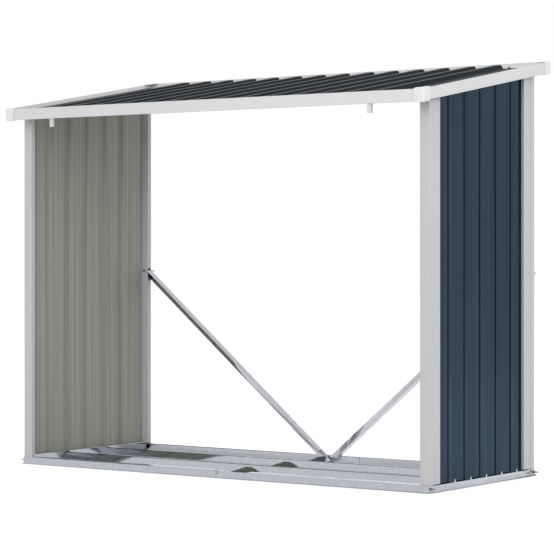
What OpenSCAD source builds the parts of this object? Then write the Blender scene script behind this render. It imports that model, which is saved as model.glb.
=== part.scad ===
// Open-fronted log store: a galvanised base frame, four folded posts, two ribbed end walls,
// a low-pitched ribbed roof in a fascia frame, and two diagonal braces across the back.
// X runs along the length, the open front faces -Y, and Z = 0 is the ground.

/* [Base frame] */
// Length over the end rails' foot flanges
base_length = 1872; // [1500:10:2400]
// Depth over the front and rear rails' foot flanges
base_depth = 770; // [650:2:1100]
// Height of the front, rear and floor rails
rail_height = 27; // [22:1:40]
// Height of the end rails above those
end_rail_rise = 11; // [4:1:30]
// Width of the outward foot flange of the front and rear rails
rail_foot = 6; // [4:1:12]
// How far the webs of the long rails and floor rails lean back over their height
web_lean = 4; // [2:0.5:5]
// Width of the front rail's inward top flange
rail_top = 40; // [30:1:60]
// Width of the end rails' inward top flange
end_rail_top = 30; // [20:1:50]
// Where the two halves of each long rail meet, from the middle of the length
rail_joint_x = 75; // [-200:1:200]
// Length of the sleeve over that meeting
sleeve_length = 150; // [80:2:240]

/* [Floor rails] */
// Distance of each floor rail's middle from the middle of the depth
floor_rail_offset = 126; // [90:1:180]
// Width of a floor rail
floor_rail_width = 30; // [20:1:50]
// Width of the flat strap that ties the rails at mid length
strap_width = 40; // [25:1:60]
// Width of a strap's triangular end gusset
gusset_width = 150; // [80:2:220]
// Shift of the straps from the middle of the length
strap_shift = -9; // [-60:1:60]

/* [Posts] */
// How far the posts stand in from the front and rear rails' foot flanges
post_inset_y = 13; // [8:1:30]
// How far the posts and the long rails' ends stand in from the end rails' foot flanges
post_inset_x = 11; // [6:1:30]
// Width of a post's face towards the front or rear
post_face = 38; // [30:1:60]
// Width of the post's corner strip along the end
post_corner = 27; // [20:1:50]
// Width of the post's second strip, which overlaps the wall
post_strip = 50; // [40:1:80]
// Depth of the post's box
post_lip = 21; // [12:1:26]

/* [Walls] */
// Spacing of the ribs in the wall sheets
wall_pitch = 110; // [90:1:130]
// Height of a wall rib
wall_rib_height = 10; // [6:1:14]
// Shift of the middle rib from the middle of the depth
wall_rib_shift = 23; // [0:1:40]
// Height of the wall's lower edge above the ground
wall_lift = 22; // [10:1:25]
// How far the wall sheet runs in behind each post strip
wall_tuck = 26; // [15:1:40]
// Width of the tongue that stands outside each wall rib
tongue_width = 8; // [5:1:16]
// How far a tongue reaches above the wall's lower edge
tongue_rise = 12; // [6:1:20]

/* [Roof] */
// Overhang of the fascia frame past the posts at each end
end_overhang = 24; // [15:1:80]
// Overhang of the fascia frame past the posts at front and rear
front_overhang = 78; // [40:1:120]
// Height of the front fascia's lower edge above the ground
eave_height = 1338; // [1000:2:1900]
// Rise of the roof from front to rear
roof_rise = 155; // [80:1:260]
// Height of a fascia beam
beam_height = 43; // [40:1:70]
// Spacing of the roof ribs
roof_pitch = 114; // [95:1:116]
// Height of a roof rib
roof_rib_height = 15; // [10:1:20]
// Width of a rib across its top
rib_top = 30; // [20:1:40]
// Width of a rib across its foot
rib_foot = 46; // [42:1:60]
// Smallest flat between the last roof rib and the roof's end
roof_end_flat = 100; // [60:1:160]
// Width of the ledge that carries the roof sheets along the front and rear
ledge = 50; // [40:1:70]
// How far each corner cap stands out beyond the beams
cap_wall = 3; // [2:0.5:5]
// Length of a cap along the front or rear beam
cap_front = 40; // [30:1:90]
// Length of a cap along an end beam
cap_side = 44; // [30:1:110]
// Size of the bevel on a cap's outer corner
cap_bevel = 5; // [4:1:20]
// Distance of each hanging tab from the middle of the length
tab_offset = 725; // [400:5:900]
// Width of a hanging tab
tab_width = 18; // [12:1:40]
// How far a tab hangs below the front beam
tab_drop = 32; // [20:1:50]

/* [Braces] */
// Width of each leg of the brace angles
brace_leg = 30; // [20:1:40]
// Height of the upper brace bolts above the ground
brace_top = 748; // [500:2:1000]
// Height of the lower brace bolts above the ground
brace_foot = 16; // [12:1:24]
// Distance of each lower brace bolt from the point where the braces meet
brace_foot_gap = 21; // [18:1:40]
// Shift of that point from the middle of the length
brace_middle = 13; // [-60:1:60]

/* [Sheet] */
// Thickness of the folded sheet in the frame
sheet = 2; // [1.5:0.1:3]
// Thickness of the ribbed sheet in walls and roof
skin = 1.2; // [1:0.1:2]

/* [Hidden] */

galvanised = "#a6abb2";
white_paint = "#e8e9ea";
anthracite = "#2f3a45";
roof_paint = "#2b2f33";

// Outer faces of the long rails' webs, of the posts and of the fascia beams
web_y = base_depth / 2 - rail_foot;
post_x = base_length / 2 - post_inset_x;
post_y = base_depth / 2 - post_inset_y;
beam_x = post_x + end_overhang;
beam_y = post_y + front_overhang;

// The wall's flats lie against the ends of the post's hems, and its ribs reach the post strip
wall_x = post_x - 2 * sheet - wall_rib_height;
wall_half = post_y - post_corner - post_strip + sheet + wall_tuck;
end_web_x = wall_x - skin;

// Gaps between the roof sheets' ends and the front and rear beams
roof_front_gap = 5;
roof_rear_gap = 25;
// Width of the beams' folded lower hem
hem = 8;
// Width of a gusset at its tip
gusset_tip = 6;

// The roof's slope, and the height of the fascia's lower edge at a given depth
slope = atan(roof_rise / (2 * beam_y));
function beam_bottom(y) = eave_height + roof_rise * (y + beam_y) / (2 * beam_y);
ledge_level = beam_height - (roof_rib_height + skin) / cos(slope) - sheet;
end_ledge = beam_x - wall_x + skin + hem;
roof_half = beam_x - sheet;
roof_front = -beam_y + sheet + roof_front_gap;
roof_rear = beam_y - sheet - roof_rear_gap;
roof_run = (roof_rear - roof_front) / cos(slope);

// Ribs fill a sheet at their pitch; a wall sheet keeps at least this much flat at its edges
rib_margin = 4;
roof_rib_pairs = floor((roof_half - rib_foot / 2 - roof_end_flat) / roof_pitch + 1 / 2);

// Middles of a wall's ribs, with the middle rib shifted along the depth
function wall_ribs(rib_shift) =
  let (
    room = wall_half - rib_foot / 2 - rib_margin,
    first = ceil((-room - rib_shift) / wall_pitch),
    last = floor((room - rib_shift) / wall_pitch)
  )
  [for (i = [first:last]) rib_shift + i * wall_pitch];

// The braces lie against the inside of the rear posts and the edge of the rear rail's top flange
brace_y = post_y - sheet;
rear_rail_top = web_y - brace_y;
// Lower bolt, run and angle of the brace on the side with the given sign
function brace_start(sx) = brace_foot_gap + sx * brace_middle;
function brace_run(sx) = post_x - post_face / 2 - brace_start(sx);
function brace_angle(sx) = atan((brace_top - brace_foot) / brace_run(sx));
// How far a brace runs past its bolt, and its clearances to the other one, the ground and a post
brace_end = 14;
brace_gap = 3;
brace_clear = 6;
notch_room = 6;
// How far a cutting shape runs past what it cuts
cut_past = 1;
// The roof sheets meet in the flats between two ribs, three ribs from the middle
sheet_break = 3 * roof_pitch;
// Width of a cap's lid, and depth of a hanging tab's side folds
cap_lid = 24;
tab_return = 9;

// A plate that follows the roof's slope: y0 to y1, from lift above the beam's lower edge,
// with the given height, and thick along X
module sloped_plate(y0, y1, lift, height, thick) {
  rotate([90, 0, 90])
    linear_extrude(thick)
      polygon([
        [y0, beam_bottom(y0) + lift], [y1, beam_bottom(y1) + lift],
        [y1, beam_bottom(y1) + lift + height], [y0, beam_bottom(y0) + lift + height]
      ]);
}

// Everything below the ledge that the walls and posts reach up to
module under_roof() {
  reach = 2 * beam_y;
  rotate([90, 0, 90])
    linear_extrude(2 * beam_x, center = true)
      polygon([
        [-reach, 0], [reach, 0],
        [reach, beam_bottom(reach) + ledge_level], [-reach, beam_bottom(-reach) + ledge_level]
      ]);
}

// A leaning web along X from the ground up, with its outer face towards -Y, at y on the ground
module leaning_web(length, y, height) {
  lean = web_lean * height / rail_height;
  rotate([90, 0, 90])
    linear_extrude(length)
      polygon([[y, 0], [y + sheet, 0], [y + sheet + lean, height], [y + lean, height]]);
}

// Half of a long base rail between x0 and x1, as a front one: its top flange stops short of the
// other half by the given opening, and a folded tab closes its end under the post
module long_rail(x0, x1, top, opening) {
  flange0 = x0 == rail_joint_x ? x0 + opening : x0 + sheet;
  flange1 = x1 == rail_joint_x ? x1 - opening : x1 - sheet;
  folded_y = -web_y + web_lean;
  translate([x0, 0, 0])
    leaning_web(x1 - x0, -web_y, rail_height);
  translate([x0, -web_y - rail_foot, 0])
    cube([x1 - x0, rail_foot + sheet, sheet]);
  translate([flange0, folded_y, rail_height - sheet])
    cube([flange1 - flange0, top - web_lean, sheet]);
  translate([x0 == rail_joint_x ? x1 - sheet : x0, 0, 0])
    rotate([90, 0, 90])
      linear_extrude(sheet)
        polygon([
          [-web_y + web_lean * sheet / rail_height, sheet], [-post_y + post_corner, sheet],
          [-post_y + post_corner, rail_height], [folded_y, rail_height]
        ]);
}

// The flat plate behind the meeting of two rail halves, as the front one
module joint_plate(height) {
  translate([rail_joint_x - sleeve_length / 2, 0, 0])
    leaning_web(sleeve_length, -web_y + sheet, height);
}

// An end rail, as the right one: a channel in which the wall sheet stands. Its inner web is taller
// and stays clear of the posts, and its outer web has a tongue outside each wall rib
module end_rail(rib_shift) {
  height = rail_height + end_rail_rise;
  front = -web_y + rail_top;
  rear = post_y - post_lip;
  reach = web_y - sheet - web_lean;
  outer_x = post_x - 2 * sheet;
  translate([end_web_x - sheet, front, 0])
    cube([sheet, rear - front, height]);
  translate([end_web_x - sheet, -reach, 0])
    cube([base_length / 2 - end_web_x + sheet, 2 * reach, sheet]);
  translate([end_web_x - end_rail_top, front, height - sheet])
    cube([end_rail_top, rear - front, sheet]);
  translate([outer_x, -reach, 0])
    cube([sheet, 2 * reach, wall_lift + sheet]);
  for (c = wall_ribs(rib_shift))
    translate([outer_x, c - tongue_width / 2, 0])
      cube([sheet, tongue_width, wall_lift + tongue_rise]);
}

// A floor rail at the given depth is a channel with its open side up, between the end rails' webs
module floor_rail(y) {
  half = end_web_x - sheet;
  translate([-half, y, 0]) {
    translate([0, -floor_rail_width / 2, 0])
      cube([2 * half, floor_rail_width, sheet]);
    leaning_web(2 * half, -floor_rail_width / 2, rail_height);
    mirror([0, 1, 0])
      leaning_web(2 * half, -floor_rail_width / 2, rail_height);
  }
}

// A triangular gusset that leans down from a rail's face at y = 0 to the ground, towards +Y
module gusset() {
  rise = rail_height - 2 * sheet;
  intersection() {
    translate([0, rise, 0])
      rotate([135, 0, 0])
        linear_extrude(sheet)
          polygon([
            [-gusset_width / 2, -sheet], [gusset_width / 2, -sheet],
            [gusset_tip / 2, rise * sqrt(2)], [-gusset_tip / 2, rise * sqrt(2)]
          ]);
    translate([-gusset_width, 0, 0])
      cube([2 * gusset_width, 2 * rise, rise - sheet]);
  }
}

// A flat strap between two rails, with a gusset against each. The first gusset stands off by lean
// where the rail's web leans over the strap
module cross_strap(y0, y1, lean) {
  translate([strap_shift - strap_width / 2, y0, 0])
    cube([strap_width, y1 - y0, sheet]);
  translate([strap_shift, y0 + lean, 0])
    gusset();
  translate([strap_shift, y1, 0])
    mirror([0, 1, 0])
      gusset();
}

// A post's section, a closed box with a strip that overlaps the wall. Its outer corner is at the
// origin, and its faces run along +X and +Y
module post_section() {
  square([post_face, sheet]);
  translate([post_face - sheet, 0])
    square([sheet, post_lip]);
  translate([0, post_lip - sheet])
    square([post_face, sheet]);
  square([sheet, post_corner]);
  translate([sheet, post_corner - sheet])
    square([sheet, post_strip]);
  translate([sheet, post_corner + post_strip - 2 * sheet])
    square([wall_rib_height + sheet, sheet]);
}

// A post at the corner given by the signs of x and y; a rear one has a slot for its brace
module post(sx, sy) {
  slot_depth = post_lip - 2 * sheet;
  slot = brace_leg / cos(brace_angle(sx)) + 2 * notch_room;
  slot_z = brace_top - (post_face - sheet) / 2 * tan(brace_angle(sx));
  intersection() {
    difference() {
      translate([sx * post_x, sy * post_y, rail_height])
        mirror([sx > 0 ? 1 : 0, 0, 0])
          mirror([0, sy > 0 ? 1 : 0, 0])
            linear_extrude(beam_bottom(beam_y))
              post_section();
      if (sy > 0)
        translate([sx * (post_x - post_face + sheet / 2), brace_y - slot_depth / 2, slot_z])
          cube([sheet + 2 * cut_past, slot_depth, slot], center = true);
    }
    under_roof();
  }
}

// Outline of a ribbed sheet from x0 to x1, with a rib at each of the centres
function rib_outline(centres, x0, x1, height, top, foot) = concat(
  [[x0, 0]],
  [
    for (c = centres, p = [[-foot, 0], [-top, height], [top, height], [foot, 0]])
      [c + p[0] / 2, p[1]]
  ],
  [[x1, 0]]
);

module ribbed_section(centres, x0, x1, height, top, foot) {
  upper = rib_outline(centres, x0, x1, height, top, foot);
  lower = rib_outline(centres, x0, x1, height, top - skin, foot - skin);
  polygon(concat(
    [for (p = upper) [p[0], p[1] + skin]],
    [for (i = [len(lower) - 1:-1:0]) lower[i]]
  ));
}

// A wall sheet, as the right one, with its middle rib shifted along the depth
module wall(rib_shift) {
  centres = wall_ribs(rib_shift);
  intersection() {
    translate([wall_x - skin, 0, wall_lift])
      rotate([0, 0, 90])
        mirror([0, 1, 0])
          linear_extrude(beam_bottom(beam_y))
            ribbed_section(centres, -wall_half, wall_half, wall_rib_height, rib_top, rib_foot);
    under_roof();
  }
}

// A fascia beam along the front: web, ledge for the roof sheets, and folded lower hem
module front_fascia(y, inward) {
  half = beam_x - cap_bevel;
  z = beam_bottom(y);
  near = inward > 0 ? y : y - sheet;
  translate([-half, near, z])
    cube([2 * half, sheet, beam_height]);
  translate([-half, inward > 0 ? y : y - hem, z])
    cube([2 * half, hem, sheet]);
  translate([-half, 0, 0])
    sloped_plate(min(y + inward * sheet / 2, y + inward * ledge),
      max(y + inward * sheet / 2, y + inward * ledge), ledge_level, sheet, 2 * half);
}

// A sloping fascia beam, as the one along the right end
module end_fascia() {
  half = beam_y - cap_bevel;
  between = beam_y - ledge;
  translate([beam_x - sheet, 0, 0])
    sloped_plate(-half, half, 0, beam_height, sheet);
  translate([beam_x - hem, 0, 0])
    sloped_plate(-half + hem, half - hem, 0, sheet, hem);
  translate([beam_x - end_ledge, 0, 0])
    sloped_plate(-between, between, ledge_level, sheet, end_ledge);
}

// Plan of a cap, with its bevelled corner at the origin and arms of the given width
module cap_plan(width) {
  turn = cap_bevel + width * (sqrt(2) - 1);
  inner = max(width, turn);
  polygon([
    [0, cap_side], [0, cap_bevel], [cap_bevel, 0], [cap_front, 0],
    [cap_front, width], [inner, width], [width, inner], [width, cap_side]
  ]);
}

// One level of a cap: its plan, between two heights above the beam's lower edge
module cap_level(sx, sy, width, low, height) {
  out_x = beam_x + cap_wall;
  out_y = beam_y + cap_wall;
  intersection() {
    translate([sx * out_x, sy * out_y, eave_height / 2])
      mirror([sx > 0 ? 1 : 0, 0, 0])
        mirror([0, sy > 0 ? 1 : 0, 0])
          linear_extrude(eave_height)
            cap_plan(width);
    translate([-out_x, 0, 0])
      sloped_plate(-out_y, out_y, low, height, 2 * out_x);
  }
}

// A cap wraps the corner of the fascia frame, with a lid over it and a lip under it
module corner_cap(sx, sy) {
  full = beam_height + 2 * cap_wall;
  union() {
    cap_level(sx, sy, cap_wall, -cap_wall, full);
    cap_level(sx, sy, cap_lid, beam_height, cap_wall);
    cap_level(sx, sy, cap_wall + hem, -cap_wall, cap_wall);
  }
}

// A roof sheet from x0 to x1, with every roof rib that lies between them
module roof_sheet(x0, x1) {
  centres = [
    for (i = [-roof_rib_pairs:roof_rib_pairs - 1])
      let (c = (i + 1 / 2) * roof_pitch) if (c > x0 && c < x1) c
  ];
  middle = (roof_front + roof_rear) / 2;
  translate([0, middle, beam_bottom(middle) + ledge_level + sheet])
    rotate([90 + slope, 0, 0])
      linear_extrude(roof_run, center = true)
        ribbed_section(centres, x0, x1, roof_rib_height, rib_top, rib_foot);
}

// The room of a brace between its inner end and a given x
module brace_room(inner, outer) {
  translate([inner, -web_y, brace_clear])
    cube([outer - inner, 2 * web_y, brace_top + brace_end]);
}

// A brace as the right one: an angle whose second leg points forward from its lower or upper edge.
// The second leg ends before the post, and the first runs into the post's slot
module brace(sx, leg_above) {
  flange_z = leg_above ? brace_leg / 2 - sheet : -brace_leg / 2;
  length = brace_run(sx) / cos(brace_angle(sx));
  inner = sx * brace_middle + brace_gap;
  intersection() {
    translate([brace_start(sx), brace_y - sheet, brace_foot])
      rotate([0, -brace_angle(sx), 0])
        translate([-3 * brace_end, 0, -brace_leg / 2])
          cube([length + 4 * brace_end, sheet, brace_leg]);
    brace_room(inner, post_x - sheet - brace_gap);
  }
  intersection() {
    translate([brace_start(sx), brace_y - sheet, brace_foot])
      rotate([0, -brace_angle(sx), 0])
        translate([brace_leg, sheet - brace_leg, flange_z])
          cube([length, brace_leg, sheet]);
    brace_room(inner, post_x - post_face - brace_gap);
  }
}

// A tab as the right one: a folded strip that hangs behind the front beam's hem
module hanging_tab() {
  translate([tab_offset - tab_width / 2, -beam_y + hem, eave_height - tab_drop]) {
    cube([tab_width, sheet, tab_drop + ledge_level]);
    for (inset = [0, tab_width - sheet])
      translate([inset, 0, 0])
        cube([sheet, tab_return, tab_drop + ledge_level - tab_return]);
  }
}

module front_base_rail_left() {
  color(galvanised) long_rail(-post_x, rail_joint_x, rail_top, sleeve_length / 2);
}
module front_base_rail_right() {
  color(galvanised) long_rail(rail_joint_x, post_x, rail_top, sleeve_length / 2);
}
module rear_base_rail_left() {
  color(galvanised) mirror([0, 1, 0]) long_rail(-post_x, rail_joint_x, rear_rail_top, 0);
}
module rear_base_rail_right() {
  color(galvanised) mirror([0, 1, 0]) long_rail(rail_joint_x, post_x, rear_rail_top, 0);
}
module front_rail_sleeve() {
  color(galvanised) joint_plate(rail_height);
}
module rear_rail_sleeve() {
  color(galvanised) mirror([0, 1, 0]) joint_plate(rail_height - sheet);
}
module left_base_rail() {
  color(galvanised) mirror([1, 0, 0]) end_rail(-wall_rib_shift);
}
module right_base_rail() {
  color(galvanised) end_rail(wall_rib_shift);
}
module front_floor_rail() {
  color(galvanised) floor_rail(-floor_rail_offset);
}
module rear_floor_rail() {
  color(galvanised) floor_rail(floor_rail_offset);
}
module front_cross_strap() {
  start = -web_y + 2 * sheet + web_lean * sheet / rail_height;
  color(galvanised) cross_strap(start, -floor_rail_offset - floor_rail_width / 2, web_lean);
}
module middle_cross_strap() {
  reach = floor_rail_offset - floor_rail_width / 2;
  color(galvanised) cross_strap(-reach, reach, 0);
}
module rear_cross_strap() {
  color(galvanised) cross_strap(floor_rail_offset + floor_rail_width / 2, brace_y - sheet, 0);
}
module front_left_post() {
  color(white_paint) post(-1, -1);
}
module front_right_post() {
  color(white_paint) post(1, -1);
}
module rear_left_post() {
  color(white_paint) post(-1, 1);
}
module rear_right_post() {
  color(white_paint) post(1, 1);
}
module left_wall() {
  color(anthracite) mirror([1, 0, 0]) wall(-wall_rib_shift);
}
module right_wall() {
  color(anthracite) wall(wall_rib_shift);
}
module front_beam() {
  color(white_paint) front_fascia(-beam_y, 1);
}
module rear_beam() {
  color(white_paint) front_fascia(beam_y, -1);
}
module left_beam() {
  color(white_paint) mirror([1, 0, 0]) end_fascia();
}
module right_beam() {
  color(white_paint) end_fascia();
}
module front_left_cap() {
  color(white_paint) corner_cap(-1, -1);
}
module front_right_cap() {
  color(white_paint) corner_cap(1, -1);
}
module rear_left_cap() {
  color(white_paint) corner_cap(-1, 1);
}
module rear_right_cap() {
  color(white_paint) corner_cap(1, 1);
}
module roof_sheet_left() {
  color(roof_paint) roof_sheet(-roof_half, -sheet_break);
}
module roof_sheet_middle() {
  color(roof_paint) roof_sheet(-sheet_break, sheet_break);
}
module roof_sheet_right() {
  color(roof_paint) roof_sheet(sheet_break, roof_half);
}
module left_brace() {
  color(galvanised) mirror([1, 0, 0]) brace(-1, true);
}
module right_brace() {
  color(galvanised) brace(1, false);
}
module left_hanging_tab() {
  color(white_paint) mirror([1, 0, 0]) hanging_tab();
}
module right_hanging_tab() {
  color(white_paint) hanging_tab();
}

front_base_rail_left();
front_base_rail_right();
rear_base_rail_left();
rear_base_rail_right();
front_rail_sleeve();
rear_rail_sleeve();
left_base_rail();
right_base_rail();
front_floor_rail();
rear_floor_rail();
front_cross_strap();
middle_cross_strap();
rear_cross_strap();
front_left_post();
front_right_post();
rear_left_post();
rear_right_post();
left_wall();
right_wall();
front_beam();
rear_beam();
left_beam();
right_beam();
front_left_cap();
front_right_cap();
rear_left_cap();
rear_right_cap();
roof_sheet_left();
roof_sheet_middle();
roof_sheet_right();
left_brace();
right_brace();
left_hanging_tab();
right_hanging_tab();
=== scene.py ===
# %% [markdown]
# # A flat-pack log store in folded steel
#
# This lesson dresses a log store: a galvanised base frame, four folded white posts, two ribbed end
# walls, a low-pitched ribbed roof inside a white fascia frame, moulded corner caps and two diagonal
# braces across the open back. The construction is already fixed, piece by piece and in metres, in
# the frame that is loaded first. What is left to do is what the eye reads: bends with a radius, a
# coating on one side of a sheet and a backing coat on the other, zinc, nuts and bolts.
#
# The frame uses +X along the length, -Y towards the open front and Z = 0 as the ground.

import math

import bmesh
import bpy
from mathutils import Matrix, Vector


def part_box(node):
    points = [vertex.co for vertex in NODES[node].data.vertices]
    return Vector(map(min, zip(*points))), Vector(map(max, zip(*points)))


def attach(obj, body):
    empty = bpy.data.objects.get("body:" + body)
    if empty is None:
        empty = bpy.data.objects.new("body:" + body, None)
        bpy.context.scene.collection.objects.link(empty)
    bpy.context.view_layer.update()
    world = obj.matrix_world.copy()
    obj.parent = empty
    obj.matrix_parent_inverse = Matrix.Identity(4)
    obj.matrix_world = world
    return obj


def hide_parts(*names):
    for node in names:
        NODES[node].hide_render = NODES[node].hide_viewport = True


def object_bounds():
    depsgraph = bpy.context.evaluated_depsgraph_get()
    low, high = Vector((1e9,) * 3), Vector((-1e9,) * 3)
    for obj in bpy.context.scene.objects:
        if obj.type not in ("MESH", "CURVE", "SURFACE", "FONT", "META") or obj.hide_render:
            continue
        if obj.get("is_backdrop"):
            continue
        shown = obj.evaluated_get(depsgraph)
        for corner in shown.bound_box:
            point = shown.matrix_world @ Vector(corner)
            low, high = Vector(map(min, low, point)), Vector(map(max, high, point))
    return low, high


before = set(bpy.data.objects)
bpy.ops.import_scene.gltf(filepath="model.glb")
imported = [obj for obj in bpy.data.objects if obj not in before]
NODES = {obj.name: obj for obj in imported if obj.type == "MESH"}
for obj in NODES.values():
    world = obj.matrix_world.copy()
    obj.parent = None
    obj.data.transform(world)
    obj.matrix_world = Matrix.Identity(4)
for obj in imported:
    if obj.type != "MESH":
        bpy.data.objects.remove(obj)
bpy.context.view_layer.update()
MM = 0.001
print("pieces in the frame:", len(NODES))

# %% [markdown]
# ## Colours and nodes
#
# Colours are easiest to compare as sRGB hex values, but a shader works in linear light, so one
# function turns the first into the second. A second function adds a node to any tree, shader or
# geometry: it sets properties, then each input, and an input that is given another node's output
# is linked to it. With it a tree reads like a recipe, one ingredient a line.


# %% A colour function and a node function
def linear(hex_colour):
    """A colour written as sRGB hex, as linear red, green, blue and alpha."""
    channels = [int(hex_colour[i:i + 2], 16) / 255 for i in (1, 3, 5)]
    return [c / 12.92 if c <= 0.04045 else ((c + 0.055) / 1.055) ** 2.4 for c in channels] + [1.0]


def add(tree, kind, inputs=None, **settings):
    """Adds a node, with its settings, and with a value or a link for each named input."""
    made = tree.nodes.new(kind)
    for name, value in settings.items():
        setattr(made, name, value)
    for key, value in (inputs or {}).items():
        if isinstance(key, str):
            socket = next(s for s in made.inputs if s.name == key and s.enabled)
        else:
            socket = made.inputs[key]
        if isinstance(value, bpy.types.NodeSocket):
            tree.links.new(value, socket)
        else:
            socket.default_value = value
    return made


print("white paint, linear:", [round(c, 3) for c in linear("#e6e7e8")])

# %% [markdown]
# ## Camera
#
# The camera stands eight metres from the store, off its right front corner and at about half its
# height, with a long lens. It looks level, so upright posts stay upright, and a small downward
# shift centres the store in the view. A tilted camera would frame it too, but its posts would lean
# together.

# %% Camera
CAMERA_PLACE = (4.8203, -6.7634, 0.8263)
CAMERA_TURN = math.radians(35.353)
CAMERA_LENS = 141.86
CAMERA_SHIFT = -0.0449

camera = bpy.data.objects.new("camera", bpy.data.cameras.new("camera"))
camera.location = CAMERA_PLACE
camera.rotation_euler = (math.radians(90), 0, CAMERA_TURN)
camera.data.sensor_width = 36
camera.data.lens = CAMERA_LENS
camera.data.shift_y = CAMERA_SHIFT
camera.data.clip_end = 200
bpy.context.scene.collection.objects.link(camera)
bpy.context.scene.camera = camera
print("camera to the middle of the store:", round(Vector(CAMERA_PLACE).length, 2), "m")

# %% [markdown]
# ## Studio
#
# A pale sweep of floor and an even, pale sky light the store from all round, and three large soft
# boxes give its faces slightly different values, so that folds show. The sky is white to the
# camera and to reflections, so that zinc has something bright to mirror, and a little dimmer where
# it only lights a surface. The floor glows faintly to the camera in the same way: it stays almost
# white, and the store's own shadow still shows on it.

# %% Rays that see and rays that light
def seen_directly(tree):
    """1 for a ray from the camera, straight, mirrored or let through, and 0 for diffuse light."""
    ray = add(tree, "ShaderNodeLightPath")
    seen = add(tree, "ShaderNodeMath",
               {0: ray.outputs["Is Camera Ray"], 1: ray.outputs["Is Glossy Ray"]},
               operation="MAXIMUM")
    seen = add(tree, "ShaderNodeMath",
               {0: seen.outputs[0], 1: ray.outputs["Is Transmission Ray"]}, operation="MAXIMUM")
    return seen.outputs[0]


print("a studio surface asks:", seen_directly.__doc__)

# %% [markdown]
# ### Sky
#
# The sky is the room's white ceiling and walls in one. A studio would hang white cloth all round.
# Here it is the world's background, whose strength is one value where it is seen and a slightly
# lower one where it lights.

# %% Sky
SKY_LIGHT = 0.78
SKY_SEEN = 1.0

sky = bpy.data.worlds.new("pale studio")
sky.use_nodes = True
bpy.context.scene.world = sky
sky.node_tree.nodes.clear()
level = add(sky.node_tree, "ShaderNodeMapRange",
            {"Value": seen_directly(sky.node_tree), "To Min": SKY_LIGHT, "To Max": SKY_SEEN})
glow = add(sky.node_tree, "ShaderNodeBackground",
           {"Color": (1, 1, 1, 1), "Strength": level.outputs["Result"]})
add(sky.node_tree, "ShaderNodeOutputWorld", {"Surface": glow.outputs[0]})
bpy.context.scene.view_settings.view_transform = "Standard"
print("sky:", SKY_LIGHT, "as light,", SKY_SEEN, "as seen")

# %% [markdown]
# ### Floor
#
# The store stands on pale matt paper that runs on out of sight. A single large square does that,
# and its edge is so far off that it needs no curve up into a wall. Its glow is added to an ordinary
# matt surface, so that a shadow can still darken it.

# %% Floor
FLOOR_SIZE = 60.0
FLOOR_GLOW = 0.5

floor_mesh = bpy.data.meshes.new("floor")
half = FLOOR_SIZE / 2
floor_mesh.from_pydata([(-half, -half, 0), (half, -half, 0), (half, half, 0), (-half, half, 0)],
                       [], [(0, 1, 2, 3)])
floor = bpy.data.objects.new("floor", floor_mesh)
bpy.context.scene.collection.objects.link(floor)
floor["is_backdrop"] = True

paper = bpy.data.materials.new("pale studio floor")
paper.use_nodes = True
paper.node_tree.nodes.clear()
level = add(paper.node_tree, "ShaderNodeMath",
            {0: seen_directly(paper.node_tree), 1: FLOOR_GLOW}, operation="MULTIPLY")
matt = add(paper.node_tree, "ShaderNodeBsdfDiffuse", {"Color": linear("#dedede")})
glow = add(paper.node_tree, "ShaderNodeEmission",
           {"Color": (1, 1, 1, 1), "Strength": level.outputs[0]})
both = add(paper.node_tree, "ShaderNodeAddShader", {0: matt.outputs[0], 1: glow.outputs[0]})
add(paper.node_tree, "ShaderNodeOutputMaterial", {"Surface": both.outputs[0]})
floor_mesh.materials.append(paper)
print("floor:", FLOOR_SIZE, "m across")

# %% [markdown]
# ### Soft boxes
#
# A soft box is a large lit cloth, and the larger it is, the softer the shadow's edge. Square area
# lamps stand for three of them: a strong one towards the open front, a weaker one towards the right
# end, and one overhead for the roof. They are hidden from reflections, because the bare zinc would
# mirror each as a hard bright square.

# %% Soft boxes
SOFT_BOXES = [
    # name, place, size, watts
    ("front soft box", (1.6, -6.6, 3.5), 4.0, 120),
    ("side soft box", (6.4, -1.2, 3.2), 3.6, 78),
    ("top soft box", (0.4, 1.2, 6.0), 4.5, 60),
]
LIT_POINT = Vector((0, 0, 0.8))

for name, place, size, watts in SOFT_BOXES:
    lamp = bpy.data.lights.new(name, "AREA")
    lamp.shape = "SQUARE"
    lamp.size = size
    lamp.energy = watts
    box = bpy.data.objects.new(name, lamp)
    box.location = place
    box.rotation_euler = (LIT_POINT - Vector(place)).to_track_quat("-Z", "Y").to_euler()
    box.visible_camera = False
    box.visible_glossy = False
    bpy.context.scene.collection.objects.link(box)
print("soft boxes:", len(SOFT_BOXES))

# %% [markdown]
# ## Finishes
#
# Almost everything here is thin steel strip, coated before it was cut and folded. A finish is
# therefore a base metal or a coat of paint, plus what its making leaves behind: crystals in zinc,
# a fine orange-peel skin on paint, a slow waviness in wide thin sheet that shows only in
# reflections. Each finish gets a short function, and every pattern is scaled from a size in
# millimetres and reads Object coordinates, which are metres here.


# %% A finish to build on
def finish_of(name, **constants):
    """A new material, its node tree and its shader, with constants set on the shader's sockets."""
    material = bpy.data.materials.new(name)
    material.use_nodes = True
    tree = material.node_tree
    shader = tree.nodes["Principled BSDF"]
    for socket, value in constants.items():
        shader.inputs[socket.replace("_", " ")].default_value = value
    return material, tree, shader


def join(tree, output, shader, socket):
    """Links a node's output to one of the shader's sockets."""
    tree.links.new(output, shader.inputs[socket])


print("finishes start from:", finish_of.__doc__)

# %% [markdown]
# ### Galvanised steel
#
# The base rails, straps and braces are hot-dip galvanised strip. Zinc freezes into flat crystals
# under a centimetre across, the spangle, and each one mirrors the room a little differently. A
# Voronoi pattern has exactly that layout. Its random cell colour shifts both the grey and the
# roughness, because spangle is seen more in how sharp a reflection is than in how dark the metal
# is. Metallic is 1 and the IOR stays at its default.

# %% Galvanised steel
SPANGLE = 9 * MM


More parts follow.
